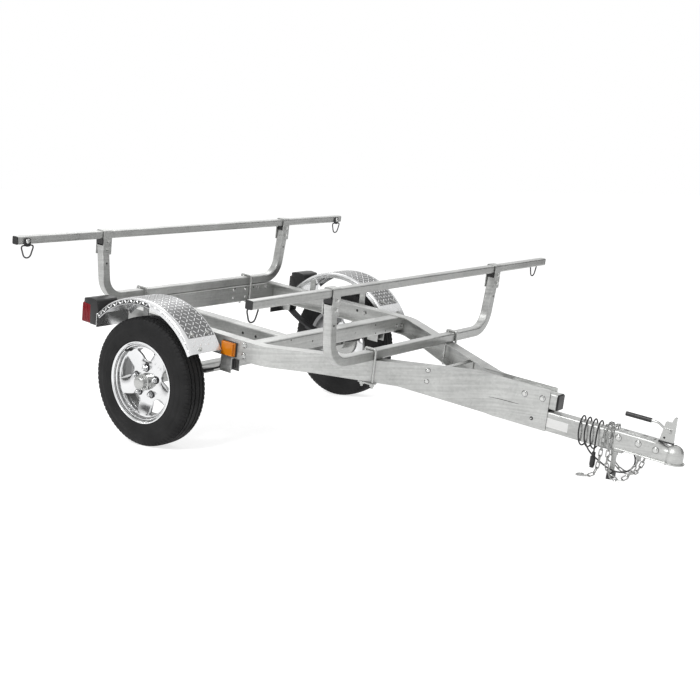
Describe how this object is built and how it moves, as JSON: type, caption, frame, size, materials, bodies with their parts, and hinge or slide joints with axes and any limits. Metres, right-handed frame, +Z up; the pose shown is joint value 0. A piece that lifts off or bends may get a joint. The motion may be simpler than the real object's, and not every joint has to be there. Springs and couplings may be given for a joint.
{
  "type": "boat trailer",
  "caption": "Light galvanised boat trailer for canoes and kayaks, with two load bars on bent cradles, a leaf-sprung axle, alloy wheels and tread-plate fenders, nose down on its tongue leg.",
  "frame": {"origin": "on the ground, at the middle of the whole trailer's box", "axes": "+X forward to the coupler, +Y to the trailer's left, +Z up"},
  "size_m": [2.4086, 2.0866, 0.8632],
  "materials": {
    "galvanised": "dull spangled zinc",
    "zinc": "bright zinc plate",
    "chrome": "polished",
    "tread_plate": "bright raised-bar plate",
    "polished_alloy": "polished",
    "tyre": "matte",
    "black_plastic": "matte",
    "black_steel": "black paint",
    "red_lens": "gloss",
    "amber_lens": "gloss"
  },
  "bodies": {
    "chassis": {"axle_beam": "galvanised", "axle_clamp_left": "galvanised", "axle_clamp_right": "galvanised", "coupler": "galvanised", "coupler_latch": "zinc", "cradle_plugs": "black_plastic", "fender_brackets_left": "galvanised", "fender_brackets_right": "galvanised", "fender_left": "tread_plate", "fender_right": "tread_plate", "front_bar_caps": "black_plastic", "front_cradle": "galvanised", "front_crossmember": "galvanised", "front_hook_bolts": "zinc", "front_load_bar": "galvanised", "front_saddles": "galvanised", "harness_plug": "black_plastic", "latch_grip": "black_plastic", "leaf_spring_left": "black_steel", "leaf_spring_right": "black_steel", "leg_foot": "black_plastic", "marker_base_left": "black_plastic", "marker_base_right": "black_plastic", "marker_lens_left": "amber_lens", "marker_lens_right": "amber_lens", "rail_left": "galvanised", "rail_right": "galvanised", "rear_bar_caps": "black_plastic", "rear_cradle": "galvanised", "rear_crossmember": "galvanised", "rear_hook_bolts": "zinc", "rear_load_bar": "galvanised", "rear_saddles": "galvanised", "safety_chain_left": "zinc", "safety_chain_right": "zinc", "side_channel_right": "galvanised", "spring_hangers_left": "galvanised", "spring_hangers_right": "galvanised", "tail_lamp_left": "black_plastic", "tail_lamp_right": "black_plastic", "tail_lens_left": "red_lens", "tail_lens_right": "red_lens", "tie_down_rings": "black_steel", "tongue_leg": "galvanised", "tongue_plug": "black_plastic", "tongue_stub": "galvanised", "tongue_tube": "galvanised", "wiring_harness": "black_plastic"},
    "wheel_right": {"tyre_right": "tyre", "rim_right": "polished_alloy", "hub_right": "zinc", "lug_nuts_right": "chrome"},
    "wheel_left": {"tyre_left": "tyre", "rim_left": "polished_alloy", "hub_left": "zinc", "lug_nuts_left": "chrome"}
  },
  "joints": [
    {"name": "wheel_right_spin", "type": "hinge", "parent": "chassis", "child": "wheel_right", "pos_m": [-0.78891, -0.656, 0.265], "axis": [0, 1, 0], "continuous": true},
    {"name": "wheel_left_spin", "type": "hinge", "parent": "chassis", "child": "wheel_left", "pos_m": [-0.78891, 0.656, 0.265], "axis": [0, 1, 0], "continuous": true}
  ]
}
